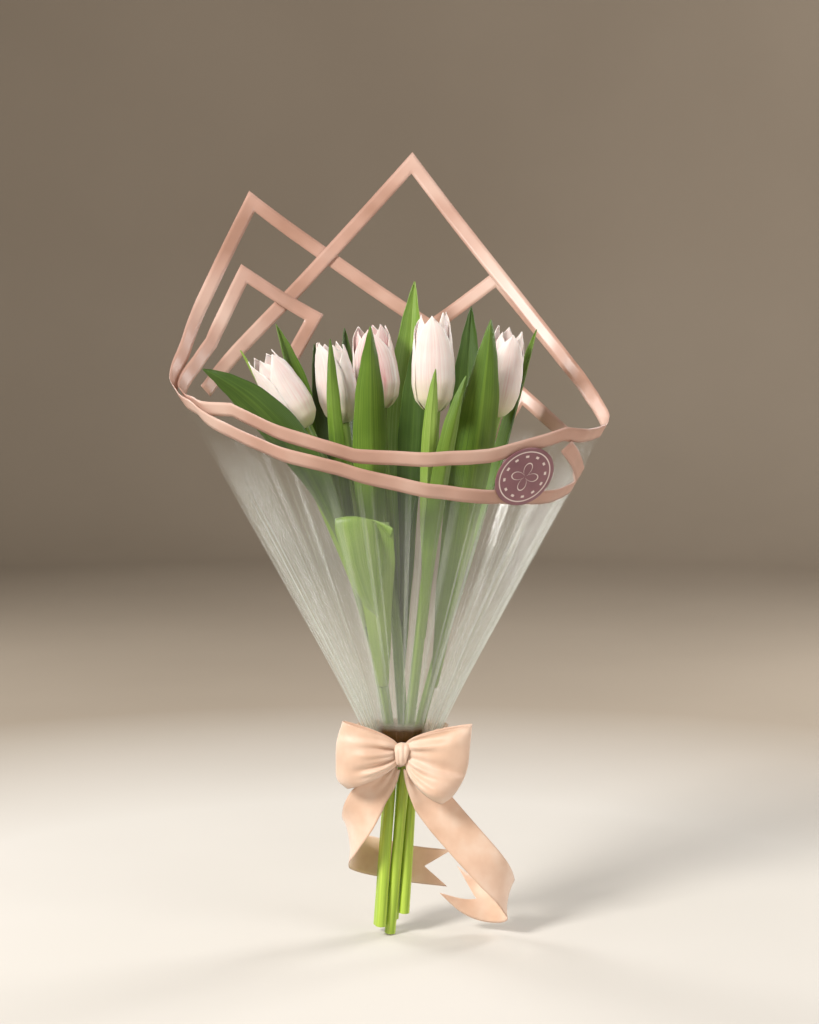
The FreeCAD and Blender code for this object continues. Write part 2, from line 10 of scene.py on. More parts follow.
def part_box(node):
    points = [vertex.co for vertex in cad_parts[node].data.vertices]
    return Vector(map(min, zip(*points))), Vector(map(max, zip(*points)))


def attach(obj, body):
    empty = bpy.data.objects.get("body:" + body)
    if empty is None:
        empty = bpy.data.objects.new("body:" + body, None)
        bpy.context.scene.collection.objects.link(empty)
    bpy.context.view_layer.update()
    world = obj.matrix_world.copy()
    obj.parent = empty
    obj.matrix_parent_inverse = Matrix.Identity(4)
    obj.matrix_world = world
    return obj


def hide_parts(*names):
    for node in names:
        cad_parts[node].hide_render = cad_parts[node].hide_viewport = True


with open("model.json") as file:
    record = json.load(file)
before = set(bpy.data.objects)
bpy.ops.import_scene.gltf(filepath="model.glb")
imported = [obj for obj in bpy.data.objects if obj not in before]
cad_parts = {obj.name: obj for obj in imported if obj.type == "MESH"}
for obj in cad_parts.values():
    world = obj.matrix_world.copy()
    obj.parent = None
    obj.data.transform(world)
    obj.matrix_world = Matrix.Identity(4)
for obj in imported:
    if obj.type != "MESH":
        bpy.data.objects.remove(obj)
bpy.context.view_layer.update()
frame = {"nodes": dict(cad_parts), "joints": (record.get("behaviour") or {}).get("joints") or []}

# Wrapped tulip bouquet. Shapes are worked out in millimetres and scaled to metres when a
# mesh is made. +Z is up, +X the viewer's right, +Y the back.
MM = 0.001
X_AXIS = Vector((1, 0, 0))
Z_AXIS = Vector((0, 0, 1))


# ---- small helpers
def lerp(first, second, fraction):
    return first + (second - first) * fraction


def clamp(value, low=0.0, high=1.0):
    return max(low, min(high, value))


def smooth(value):
    value = clamp(value)
    return value * value * (3 - 2 * value)


def polar(radius, azimuth, height=0.0):
    angle = radians(azimuth)
    return Vector((radius * cos(angle), radius * sin(angle), height))


def steps(count):
    return [index / (count - 1) for index in range(count)]


def sample(table, at):
    """Reads a table of (position, value) rows, half straight and half smooth in between."""
    if at <= table[0][0]:
        return table[0][1]
    for (start, low), (end, high) in zip(table, table[1:]):
        if at <= end:
            share = (at - start) / (end - start)
            return lerp(low, high, 0.5 * share + 0.5 * smooth(share))
    return table[-1][1]


def uneven(x, y, z):
    """Smooth noise at a place."""
    return noise.noise(Vector((x, y, z)))


def bezier(poles, at):
    points = [Vector(pole) for pole in poles]
    while len(points) > 1:
        points = [lerp(a, b, at) for a, b in zip(points, points[1:])]
    return points[0]


def catmull(points, at):
    """A smooth curve through the points; at runs from 0 to 1."""
    spans = len(points) - 1
    place = clamp(at) * spans
    index = min(int(place), spans - 1)
    t = place - index
    p1, p2 = points[index], points[index + 1]
    p0 = points[index - 1] if index > 0 else p1 * 2 - p2
    p3 = points[index + 2] if index + 2 <= spans else p2 * 2 - p1
    return 0.5 * ((2 * p1) + (p2 - p0) * t + (2 * p0 - 5 * p1 + 4 * p2 - p3) * t * t
                  + (3 * p1 - p0 - 3 * p2 + p3) * t * t * t)


def link(thing):
    bpy.context.scene.collection.objects.link(thing)


def make_piece(name, points, faces, place):
    """A smooth mesh object from points in millimetres.

    place holds a vector for each point, kept for the materials: usually how far along the
    piece, how far across it and a number of the piece's own.
    """
    mesh = bpy.data.meshes.new(name)
    mesh.from_pydata([Vector(point) * MM for point in points], [], faces)
    mesh.validate()
    stored = mesh.attributes.new("place", "FLOAT_VECTOR", "POINT")
    for item, value in zip(stored.data, place):
        item.vector = value
    for polygon in mesh.polygons:
        polygon.use_smooth = True
    piece = bpy.data.objects.new(name, mesh)
    link(piece)
    return piece


def grid_faces(rows, columns, closed=False, first=0):
    """Quads of a grid stored row by row; closed joins the last column to the first."""
    faces = []
    for row in range(rows - 1):
        for column in range(columns if closed else columns - 1):
            after = (column + 1) % columns
            low = first + row * columns
            high = low + columns
            faces.append((low + column, low + after, high + after, high + column))
    return faces


def sheet(name, rows, columns, spot, closed=False):
    """A sheet from spot(row, column), which gives a point and its place vector."""
    points, place = zip(*(spot(row, column) for row in rows for column in columns))
    return make_piece(name, points, grid_faces(len(rows), len(columns), closed), place)


def grid_piece(name, surface, rows, columns, closed=False, own=0.0):
    """A sheet from surface(u, v), with u along it and v from -1 to 1 across it."""
    spans = columns if closed else columns - 1
    across = [2 * index / spans - 1 for index in range(columns)]
    return sheet(name, steps(rows), across, lambda u, v: (surface(u, v), (u, v, own)), closed)


def thicken(piece, thickness):
    """Gives a sheet a thickness in millimetres, half of it on each side."""
    modifier = piece.modifiers.new("Thickness", "SOLIDIFY")
    modifier.thickness = thickness * MM
    modifier.offset = 0.0


def subdivide(piece):
    modifier = piece.modifiers.new("Smooth", "SUBSURF")
    modifier.levels = 1
    modifier.render_levels = 1


def repaint(piece, material):
    piece.data.materials.clear()
    piece.data.materials.append(material)


def dress(piece, material, body, node=None):
    """Gives a piece its material in a material slot and its body, and hides the CAD node it replaces.
    """
    repaint(piece, material)
    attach(piece, body)
    if node:
        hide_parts(node)


def joined(name, pieces):
    """One object from several, with their modifiers applied."""
    graph = bpy.context.evaluated_depsgraph_get()
    points = []
    faces = []
    place = []
    for piece in pieces:
        mesh = piece.evaluated_get(graph).to_mesh()
        first = len(points)
        points += [Vector(vertex.co) / MM for vertex in mesh.vertices]
        place += [Vector(item.vector) for item in mesh.attributes["place"].data]
        faces += [[first + index for index in polygon.vertices] for polygon in mesh.polygons]
        piece.evaluated_get(graph).to_mesh_clear()
    for piece in pieces:
        bpy.data.objects.remove(piece)
    return make_piece(name, points, faces, place)


# ---- material helpers
def srgb(red, green, blue):
    """A linear colour from the usual 0 to 255 numbers, as ramp and mix take them too."""
    linear = []
    for value in (red, green, blue):
        share = value / 255
        linear.append(share / 12.92 if share <= 0.04045 else ((share + 0.055) / 1.055) ** 2.4)
    return (*linear, 1.0)


class Look:
    """A node material under construction."""

    def __init__(self, name):
        self.material = bpy.data.materials.new(name)
        self.material.use_nodes = True
        self.tree = self.material.node_tree
        self.tree.nodes.clear()
        self.output = self.tree.nodes.new("ShaderNodeOutputMaterial")

    def node(self, kind, inputs=None, **settings):
        made = self.tree.nodes.new("ShaderNode" + kind)
        for key, value in settings.items():
            setattr(made, key, value)
        for key, value in (inputs or {}).items():
            self.feed(made.inputs[key], value)
        return made

    def feed(self, socket, value):
        if isinstance(value, bpy.types.NodeSocket):
            self.tree.links.new(value, socket)
        else:
            socket.default_value = value

    def place(self):
        """Along, across and own number of the piece, as three sockets."""
        stored = self.node("Attribute", attribute_name="place")
        split = self.node("SeparateXYZ", {0: stored.outputs["Vector"]})
        return tuple(split.outputs)

    def position(self):
        return self.node("TexCoord").outputs["Object"]

    def lines(self, across_scale, along_scale):
        """A place for noise that is drawn out along the piece, different on every piece."""
        along, across, own = self.place()
        return self.combine(self.times(across, across_scale), self.times(along, along_scale), own)

    def math(self, operation, first, second=0.0, clamped=False):
        made = self.node("Math", {0: first, 1: second}, operation=operation)
        made.use_clamp = clamped
        return made.outputs[0]

    def times(self, first, second, clamped=False):
        return self.math("MULTIPLY", first, second, clamped)

    def plus(self, first, second, clamped=False):
        return self.math("ADD", first, second, clamped)

    def size(self, value):
        """The value without its sign."""
        return self.math("ABSOLUTE", value)

    def combine(self, x=0.0, y=0.0, z=0.0):
        return self.node("CombineXYZ", {0: x, 1: y, 2: z}).outputs[0]

    def noise(self, vector, scale, detail=2.0, roughness=0.5):
        made = self.node("TexNoise", {"Vector": vector, "Scale": scale, "Detail": detail,
                                      "Roughness": roughness})
        return made.outputs["Fac"]

    def wave(self, along, scale, distortion, detail=2.0):
        made = self.node("TexWave", {"Vector": self.combine(along), "Scale": scale,
                                     "Distortion": distortion, "Detail": detail})
        return made.outputs["Fac"]

    def ramp(self, factor, *stops):
        """Colours or grey levels along a factor: stops are (position, colour)."""
        made = self.node("ValToRGB", {0: factor})
        band = made.color_ramp
        while len(band.elements) < len(stops):
            band.elements.new(0.5)
        for element, (position, colour) in zip(band.elements, stops):
            element.position = position
            grey = isinstance(colour, (int, float))
            element.color = (colour, colour, colour, 1.0) if grey else srgb(*colour)
        return made.outputs[0]

    def mix(self, factor, first, second, blend="MIX"):
        made = self.node("Mix", data_type="RGBA", blend_type=blend)
        self.feed(made.inputs[0], factor)
        for place, colour in ((6, first), (7, second)):
            triple = isinstance(colour, tuple)
            self.feed(made.inputs[place], srgb(*colour) if triple else colour)
        return made.outputs[2]

    def bump(self, height, strength, distance):
        made = self.node("Bump", {"Height": height, "Strength": strength, "Distance": distance * MM})
        return made.outputs["Normal"]

    def blend(self, share, first, second):
        return self.node("MixShader", {0: share, 1: first, 2: second}).outputs[0]

    def finish(self, surface):
        self.feed(self.output.inputs["Surface"], surface)
        return self.material

    def finish_backlit(self, surface, colour, share):
        """Ends a material that lets a share of the light shine through."""
        glow = self.node("BsdfTranslucent", {"Color": colour}).outputs[0]
        return self.finish(self.blend(share, surface, glow))

    def principled(self, colour, roughness, normal=None, **inputs):
        made = self.node("BsdfPrincipled", {"Base Color": colour, "Roughness": roughness})
        if normal:
            self.feed(made.inputs["Normal"], normal)
        for key, value in inputs.items():
            self.feed(made.inputs[key.replace("_", " ")], value)
        return made.outputs[0]


def satin_material():
    """Peach satin: fine crosswise threads, a soft wide sheen, and a painted sheen where the colour
    turns paler as the surface turns edge-on.
    """
    look = Look("peach_satin")
    along, across, _ = look.place()
    position = look.position()
    cloud = look.noise(position, 55.0, 3.0)
    edge_on = look.node("LayerWeight", {"Blend": 0.45}).outputs["Facing"]
    base = look.ramp(cloud, (0.30, (226, 188, 160)), (0.52, (236, 202, 176)), (0.78, (244, 220, 200)))
    # Painted sheen: the colour turns paler where the satin is seen edge-on.
    sheen = look.mix(look.times(edge_on, 0.5), base, (248, 234, 222))
    selvedge = look.ramp(look.size(across), (0.93, 0.0), (0.97, 1.0))
    colour = look.mix(look.times(selvedge, 0.35), sheen, (212, 168, 140))
    threads = look.wave(along, 130.0, 0.6, 1.0)
    weave = look.plus(threads, look.times(look.wave(across, 34.0, 0.3), 0.5))
    crush = look.noise(position, 120.0, 2.0)
    height = look.plus(look.times(weave, 0.25), crush)
    surface = look.principled(
        colour, 0.37, look.bump(height, 0.28, 0.4), Specular_IOR_Level=0.6,
        Sheen_Weight=0.35, Sheen_Roughness=0.3, Anisotropic=0.5)
    return look.finish_backlit(surface, colour, 0.16)


def border_material():
    """The rose strip printed along the film's edges: satin, faintly streaked."""
    look = Look("rose_border")
    _, across, _ = look.place()
    position = look.position()
    cloud = look.noise(position, 16.0, 3.0)
    colour = look.ramp(cloud, (0.32, (184, 142, 122)), (0.5, (208, 168, 150)), (0.68, (228, 198, 182)))
    rim = look.ramp(look.size(across), (0.86, 0.0), (1.0, 1.0))
    tinted = look.mix(look.times(rim, 0.30), colour, (196, 150, 134))
    grain = look.noise(position, 900.0, 2.0)
    ripple = look.noise(position, 60.0, 2.0)
    height = look.plus(look.times(grain, 0.15), ripple)
    surface = look.principled(
        tinted, look.ramp(cloud, (0.2, 0.34), (0.8, 0.48)),
        look.bump(height, 0.25, 0.5), Coat_Weight=0.25, Coat_Roughness=0.25)
    return look.finish_backlit(surface, tinted, 0.22)


def film_material():
    """Clear film: see-through, milkier towards the gathered neck, with streaks of painted reflection
    and a patch of painted brown shade in front above the ribbon.
    """
    look = Look("clear_film")
    along, across, _ = look.place()
    lines = look.lines(46.0, 0.7)
    broad = look.noise(lines, 0.24, 2.0)
    middling = look.noise(lines, 0.55, 2.0)
    fine = look.noise(lines, 1.9, 3.0, 0.6)
    height = look.plus(broad, look.times(middling, 0.5))
    height = look.plus(height, look.times(fine, 0.12))
    normal = look.bump(height, 0.5, 6.0)
    facing = look.node("LayerWeight", {"Blend": 0.30}).outputs["Facing"]
    edge = look.plus(0.24, look.times(facing, 1.5))
    body = look.ramp(along, (0.12, 0.42), (0.30, 0.15), (0.55, 0.04), (0.85, 0.01), (1.0, 0.005))
    low = look.ramp(along, (0.20, 1.0), (0.62, 0.75), (0.84, 0.0))
    # Painted reflections: bright milky streaks drawn out along the film, strongest low down and where
    # the film is seen edge-on.
    painted_reflection_veil = look.ramp(broad, (0.53, 0.0), (0.58, 0.40))
    painted_reflection_glint = look.ramp(middling, (0.64, 0.0), (0.68, 0.75))
    painted_reflection_hairlines = look.ramp(fine, (0.68, 0.0), (0.76, 0.14))
    streaks = look.plus(look.plus(painted_reflection_veil, painted_reflection_glint), painted_reflection_hairlines)
    haze_and_painted_light = look.times(look.times(streaks, edge), low)
    haze_and_painted_light = look.plus(haze_and_painted_light, look.times(body, edge), clamped=True)
    # Painted shade: a brown tint and extra milk on the film in front, just above the ribbon, stand in
    # for the shadowed hollow there.
    from_front = look.size(look.math("SUBTRACT", across, 1.5 * pi))
    painted_hollow_shade = look.times(look.ramp(from_front, (0.50, 1.0), (0.85, 0.0)),
                       look.ramp(along, (0.145, 1.0), (0.175, 0.0)))
    haze_and_painted_light = look.math("MAXIMUM", haze_and_painted_light, look.times(painted_hollow_shade, 0.80), clamped=True)
    # The milk colour, turned brown where the painted shade lies.
    milk_and_painted_shade_colour = look.mix(painted_hollow_shade, (236, 240, 234), (104, 70, 34))
    clear = look.node("BsdfTransparent", {"Color": (0.99, 0.99, 0.985, 1.0)}).outputs[0]
    gloss = look.node("BsdfGlossy", {"Color": (1, 1, 1, 1), "Roughness": 0.14,
                                     "Normal": normal}).outputs[0]
    milk = look.node("BsdfDiffuse", {"Color": milk_and_painted_shade_colour, "Normal": normal}).outputs[0]
    through = look.node("BsdfTranslucent", {"Color": milk_and_painted_shade_colour}).outputs[0]
    hazy = look.blend(haze_and_painted_light, clear, look.blend(0.5, milk, through))
    taut = look.ramp(look.times(along, 0.6), (0.38, 1.0), (0.54, 0.0))
    shine = look.plus(0.025, look.times(facing, 0.24))
    shine = look.times(shine, taut, clamped=True)
    return look.finish(look.blend(shine, hazy, gloss))


def petal_material(name, blush):
    """A pale petal: cream edges, a rose flame up the middle and a green-cream foot."""
    look = Look(name)
    along, across, _ = look.place()
    side = look.size(across)
    streaks = look.noise(look.lines(9.0, 1.1), 1.6, 4.0, 0.62)
    flame = look.math("SUBTRACT", 1.0, look.times(side, 0.85))
    strength = look.times(flame, look.ramp(streaks, (0.33, 0.15), (0.66, 1.0)))
    strength = look.times(strength, look.ramp(
        along, (0.05, 0.25), (0.35, 1.0), (0.8, 0.75), (1.0, 0.45)))
    strength = look.times(strength, blush, clamped=True)
    cream = look.ramp(along, (0.0, (206, 212, 146)), (0.13, (232, 226, 196)),
                      (0.4, (246, 239, 232)), (1.0, (248, 240, 234)))
    colour = look.mix(strength, cream, (220, 150, 150))
    veins = look.noise(look.lines(30.0, 1.6), 1.5, 2.0)
    surface = look.principled(
        colour, 0.42, look.bump(veins, 0.30, 0.6), Subsurface_Weight=0.12,
        Subsurface_Radius=(0.006, 0.003, 0.002), Sheen_Weight=0.25)
    return look.finish_backlit(surface, colour, 0.18)


def leaf_material(name, dark, middle, light):
    """A waxy leaf with parallel veins, a paler midrib and an uneven bloom of wax."""
    look = Look(name)
    along, across, _ = look.place()
    side = look.size(across)
    veins = look.noise(look.lines(16.0, 1.2), 1.7, 3.0, 0.55)
    patches = look.noise(look.position(), 22.0, 3.0)
    tone = look.plus(look.times(veins, 0.55), look.times(patches, 0.45))
    colour = look.ramp(tone, (0.30, dark), (0.50, middle), (0.72, light))
    rib = look.ramp(side, (0.0, 1.0), (0.10, 0.0))
    colour = look.mix(look.times(rib, 0.35), colour, light)
    foot = look.ramp(along, (0.0, 1.0), (0.35, 0.0))
    colour = look.mix(look.times(foot, 0.5), colour, (150, 172, 88))
    ridges = look.wave(across, 4.6, 0.8, 1.0)
    height = look.plus(look.times(ridges, 0.5), veins)
    surface = look.principled(
        colour, look.ramp(patches, (0.25, 0.34), (0.8, 0.52)),
        look.bump(height, 0.28, 0.6), Coat_Weight=0.12, Coat_Roughness=0.35)
    return look.finish_backlit(surface, look.mix(0.4, colour, light), 0.20)


def stem_material():
    """Fresh stem: yellow-green low down, greener above, with fine lengthwise lines."""
    look = Look("tulip_stem")
    along, _, own = look.place()
    streaks = look.noise(look.lines(7.0, 3.0), 1.8, 3.0)
    low = look.ramp(streaks, (0.3, (140, 172, 44)), (0.7, (186, 212, 82)))
    high = look.ramp(streaks, (0.3, (92, 122, 42)), (0.7, (136, 162, 78)))
    colour = look.mix(look.ramp(along, (0.15, 0.0), (0.55, 1.0)), low, high)
    cut = look.ramp(own, (0.5, 0.0), (0.6, 1.0))
    colour = look.mix(cut, colour, (214, 222, 158))
    return look.finish(look.principled(
        colour, 0.40, look.bump(streaks, 0.25, 0.4), Subsurface_Weight=0.08,
        Subsurface_Radius=(0.002, 0.003, 0.001), Coat_Weight=0.1))


def speckled_material(name, dark, light, scale, roughness):
    """A matt surface with fine speckles, for hidden flower parts and the rubber band."""
    look = Look(name)
    grains = look.noise(look.position(), scale, 4.0, 0.65)
    colour = look.ramp(grains, (0.35, dark), (0.65, light))
    return look.finish(look.principled(colour, roughness, look.bump(grains, 0.4, 0.3)))


def seal_material():
    """Plum paper with a pale ring, a ring of dots and a plain four-lobed outline."""
    look = Look("plum_seal")
    x, y, _ = look.place()
    radius = look.math("SQRT", look.plus(look.times(x, x), look.times(y, y)))
    angle = look.math("ARCTAN2", y, x)
    position = look.position()
    fibre = look.noise(position, 700.0, 3.0, 0.6)
    cloud = look.noise(position, 60.0, 2.0)
    base = look.ramp(cloud, (0.3, (118, 72, 82)), (0.7, (138, 90, 98)))

    def band(value, centre, half):
        away = look.size(look.math("SUBTRACT", value, centre))
        return look.ramp(away, (half * 0.7, 1.0), (half, 0.0))

    ring = band(radius, 0.86, 0.022)
    wave = look.size(look.math("SINE", look.times(angle, 6.0)))
    dots = look.times(band(radius, 0.70, 0.045), look.ramp(wave, (0.86, 0.0), (0.92, 1.0)))
    leafy = look.size(look.math("COSINE", look.times(angle, 2.0)))
    outline = band(look.math("SUBTRACT", radius, look.times(leafy, 0.42)), 0.05, 0.022)
    print_mask = look.math("MAXIMUM", ring, look.math("MAXIMUM", dots, outline))
    colour = look.mix(look.times(print_mask, 0.85), base, (236, 222, 216))
    return look.finish(look.principled(
        colour, 0.38, look.bump(fibre, 0.2, 0.2), Coat_Weight=0.35, Coat_Roughness=0.2))


SATIN = satin_material()
BORDER = border_material()
FILM = film_material()
STEM = stem_material()
SEAL = seal_material()
PISTIL = speckled_material("pistil", (150, 164, 84), (196, 204, 132), 900.0, 0.6)
ANTHER = speckled_material("anther", (44, 30, 38), (84, 62, 66), 1400.0, 0.85)
RUBBER = speckled_material("tan_rubber", (150, 118, 78), (176, 142, 98), 500.0, 0.7)
# One leaf look in three tones: the darkest copy is painted shade for leaves lying in shadow, the
# lightest is painted light for lit leaves, and the middle one sits between.
LEAF_WITH_PAINTED_SHADE = leaf_material("leaf_dark", (46, 70, 22), (66, 94, 30), (96, 126, 48))
MID_LEAF = leaf_material("leaf_mid", (70, 100, 28), (98, 132, 36), (134, 164, 62))
LEAF_WITH_PAINTED_LIGHT = leaf_material("leaf_light", (100, 136, 42), (134, 168, 66), (176, 200, 110))


# ---- the film cone
CONE_CENTRE_X = 8.0
CONE_APEX = 103.0
FLARE_X = 0.554
FLARE_Y = 0.35
DRIFT_Y = 0.05
NECK_HALF_WIDTH = 14.5
NECK_HALF_DEPTH = 13.5
WRAP_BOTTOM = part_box("inner_film_sheet")[0][2] / MM
STRIP_WIDTH = 9.6
BACK, FRONT = "back", "front"


def cone_ray(theta):
    """The direction from the cone's apex along its side, for one unit of height."""
    return Vector((FLARE_X * cos(theta), FLARE_Y * sin(theta) - DRIFT_Y, 1.0))


def unrolled_table(count):
    """How far round the unrolled film each step round the cone has come, in radians."""
    angles = [0.0]
    for index in range(count):
        first = cone_ray(tau * index / count).normalized()
        second = cone_ray(tau * (index + 1) / count).normalized()
        angles.append(angles[-1] + first.angle(second))
    return angles


TURN_STEPS = 720
UNROLLED = unrolled_table(TURN_STEPS)
FULL_TURN = UNROLLED[-1]


def unroll(theta):
    """The angle on the unrolled film of an angle round the cone; roll goes the other way."""
    turns = floor(theta / tau)
    place = (theta / tau - turns) * TURN_STEPS
    index = min(int(place), TURN_STEPS - 1)
    return turns * FULL_TURN + lerp(UNROLLED[index], UNROLLED[index + 1], place - index)


def roll(flat_angle):
    turns = floor(flat_angle / FULL_TURN)
    rest = flat_angle - turns * FULL_TURN
    low = bisect_right(UNROLLED, rest, 1, TURN_STEPS) - 1
    share = (rest - UNROLLED[low]) / (UNROLLED[low + 1] - UNROLLED[low])
    return (turns + (low + share) / TURN_STEPS) * tau


def wrinkle(theta, rise):
    """How far the film stands off its cone: pleats at the neck, long soft ridges above."""
    around = Vector((cos(theta), sin(theta), 0.0))
    pleats = sin(19 * theta + 1.5 * sin(3 * theta)) * 1.3 * exp(-rise / 26)
    ridge = noise.noise(around * 3.1 + Vector((0.0, 0.0, rise * 0.0035)))
    fold = noise.noise(around * 7.5 + Vector((5.0, 2.0, rise * 0.005)))
    grown = clamp(rise / 110)
    return pleats + grown * (2.2 * ridge + 1.0 * fold)


def film_point(theta, rise, offset):
    """A point of the film at an angle, a height above the apex and an offset outwards."""
    half_width = hypot(FLARE_X * rise, NECK_HALF_WIDTH)
    half_depth = hypot(FLARE_Y * rise, NECK_HALF_DEPTH)
    point = Vector((CONE_CENTRE_X + half_width * cos(theta),
                    half_depth * sin(theta) - DRIFT_Y * rise, CONE_APEX + rise))
    outward = Vector((half_depth * cos(theta), half_width * sin(theta), 0.0))
    outward.normalize()
    outward = (outward + Vector((0.0, 0.0, -0.42))).normalized()
    return point + outward * (offset + wrinkle(theta % tau, rise))


def rim_line(*spots):
    """Angles and heights on the cone of (x, z, side, turns) spots seen from the front.

    The side is BACK or FRONT, and turns is left out for a spot on the first turn.
    """
    line = []
    for x, z, side, *turns in spots:
        share = clamp((x - CONE_CENTRE_X) / (FLARE_X * (z - CONE_APEX)), -1.0, 1.0)
        angle = acos(share)
        if side == FRONT:
            angle = tau - angle
        line.append((angle + tau * sum(turns), z - CONE_APEX))
    return line


def flat_spot(theta, rise):
    """The spot's place on the unrolled film."""
    reach = cone_ray(theta).length * rise
    angle = unroll(theta)
    return Vector((reach * cos(angle), reach * sin(angle)))


def rolled_spot(flat, near):
    """The angle and height on the cone of a place on the unrolled film."""
    angle = atan2(flat.y, flat.x)
    while angle < near - pi:
        angle += tau
    while angle > near + pi:
        angle -= tau
    theta = roll(angle)
    return theta, flat.length / cone_ray(theta).length


def inner_line(flats, width):
    """The line that runs at a width inside a bent edge, mitred at its corners."""
    spans = [(second - first).normalized() for first, second in zip(flats, flats[1:])]
    normals = [Vector((-along.y, along.x)) for along in spans]
    inside = []
    for index, flat in enumerate(flats):
        before = normals[max(index - 1, 0)]
        after = normals[min(index, len(normals) - 1)]
        bisector = (before + after).normalized()
        inside.append(flat + bisector * (width / max(bisector.dot(after), 0.35)))
    return inside


STRIP_STEP = 3.5
STRIP_COLUMNS = 5
STRIP_THICKNESS = 0.3


def border_strip(name, rim, offset_at):
    """The border strip inside a rim line of (angle, height) spots."""
    flats = [flat_spot(theta, rise) for theta, rise in rim]
    inside = inner_line(flats, STRIP_WIDTH)
    rows = []
    length = 0.0
    for index in range(len(flats) - 1):
        span = (flats[index + 1] - flats[index]).length
        count = max(2, round(span / STRIP_STEP))
        last = index == len(flats) - 2
        for step in range(count + last):
            share = step / count
            edge = lerp(flats[index], flats[index + 1], share)
            inner = lerp(inside[index], inside[index + 1], share)
            near = lerp(unroll(rim[index][0]), unroll(rim[index + 1][0]), share)
            rows.append((edge, inner, near, length + span * share))
        length += span

    def spot(row, share):
        edge, inner, near, run = row
        theta, rise = rolled_spot(lerp(edge, inner, share), near)
        return film_point(theta, rise, offset_at(theta)), (run / 100, 2 * share - 1, 0.0)

    piece = sheet(name, rows, steps(STRIP_COLUMNS), spot)
    thicken(piece, STRIP_THICKNESS)
    return piece


def rim_height(theta, flats, nears):
    """How far out the rim lies on the unrolled film along one line from the apex."""
    angle = unroll(theta)
    ray = Vector((cos(angle), sin(angle)))
    best = None
    for (first, a), (second, b) in zip(zip(flats, nears), zip(flats[1:], nears[1:])):
        if not min(a, b) - 1e-6 <= angle <= max(a, b) + 1e-6:
            continue
        edge = second - first
        cross = ray.x * edge.y - ray.y * edge.x
        if abs(cross) < 1e-9:
            continue
        reach = (first.x * edge.y - first.y * edge.x) / cross
        if best is None or reach > best:
            best = reach
    return best


FILM_ROWS = 60
FILM_STEP = radians(1.5)


def film_sheet(name, rim, start, end, offset_at, closed):
    """The clear sheet under a rim line, from the gathered neck up."""
    flats = [flat_spot(theta, rise) for theta, rise in rim]
    nears = [unroll(theta) for theta, rise in rim]
    angles = [start + (end - start) * share for share in steps(int((end - start) / FILM_STEP) + 1)]
    angles += [theta for theta, rise in rim if start < theta < end]
    angles = sorted(set(angles))
    if closed:
        angles = angles[:-1]
    columns = []
    known = None
    for theta in angles:
        reach = rim_height(theta, flats, nears)
        known = reach if reach is not None else known
        columns.append((theta, known / cone_ray(theta).length - 0.4))

    def spot(share, column):
        theta, top = column
        rise = lerp(WRAP_BOTTOM - CONE_APEX, top, share ** 1.25)
        return film_point(theta, rise, offset_at(theta)), (rise / 250, theta, 0.0)

    return sheet(name, steps(FILM_ROWS), columns, spot, closed)


OUTER_RIM = rim_line((135, 352, BACK), (73, 435, BACK), (27, 401, BACK), (-95, 488, BACK),
                     (-136, 381, BACK), (-118, 351, FRONT), (-28, 317, FRONT), (69, 299, FRONT),
                     (116, 301, FRONT), (104, 322, FRONT))
INNER_RIM = rim_line((-63, 369, BACK), (-45, 403, BACK), (-100, 437, BACK), (-121, 388, BACK),
                     (-121, 353, FRONT), (-96, 351, FRONT), (-20, 325, FRONT), (60, 325, FRONT),
                     (108, 337, FRONT), (134, 354, BACK, 1), (15, 514, BACK, 1),
                     (-104, 383, BACK, 1), (-122, 358, BACK, 1))
TUCKED_RIM = rim_line((117, 330, BACK), (87, 357, BACK), (66, 322, BACK))


def outer_offset(theta):
    return 1.7


def inner_offset(theta):
    """The inner sheet winds outwards, so that its ends overlap without touching."""
    return lerp(-1.2, 0.5, smooth((theta - radians(200)) / radians(120)))


def film_wrap():
    first = OUTER_RIM[0]
    closed_rim = OUTER_RIM[:-1] + [(first[0] + tau, first[1])]
    outer = film_sheet("outer_film", closed_rim, first[0], first[0] + tau, outer_offset, True)
    inner = film_sheet("inner_film", INNER_RIM[1:], INNER_RIM[1][0], INNER_RIM[-1][0],
                       inner_offset, False)
    for piece, node in ((outer, "outer_film_sheet"), (inner, "inner_film_sheet")):
        dress(piece, FILM, "wrap", node)
    for name, rim, offset in (("outer_film_border", OUTER_RIM, outer_offset),
                              ("inner_film_border", INNER_RIM, inner_offset),
                              ("tucked_corner_border", TUCKED_RIM, lambda theta: -1.0)):
        dress(border_strip(name, rim, offset), BORDER, "wrap")


film_wrap()


# ---- tulips
DRAW_AXIS = Vector(next(joint["axis"] for joint in frame["joints"] if joint["name"].endswith("_draw")))
LEAN = Z_AXIS.rotation_difference(DRAW_AXIS)  # from the upright bundle to the leaning one
RING_GAP = 5.0
RING_TILT = 1.5


def node_points(node):
    return [Vector(vertex.co) / MM for vertex in frame["nodes"][node].data.vertices]


def ring_centres(node):
    """The middle line of a lofted rod: the middles of its rings of points, bottom to top."""
    points = sorted(node_points(node), key=lambda point: point.z)
    rings = [[points[0]]]
    for before, point in zip(points, points[1:]):
        if point.z - before.z > RING_GAP:
            rings.append([])
        rings[-1].append(point)
    ends = []
    for ring in rings:
        if ring[-1].z - ring[0].z > RING_GAP:
            ends.append([point for point in ring if point.z < ring[0].z + RING_TILT])
            ends.append([point for point in ring if point.z > ring[-1].z - RING_TILT])
        else:
            ends.append(ring)
    return [Vector([(min(values) + max(values)) / 2 for values in zip(*ring)]) for ring in ends]


STEM_RADIUS = 3.6
STEM_ROWS = 90
STEM_COLUMNS = 24


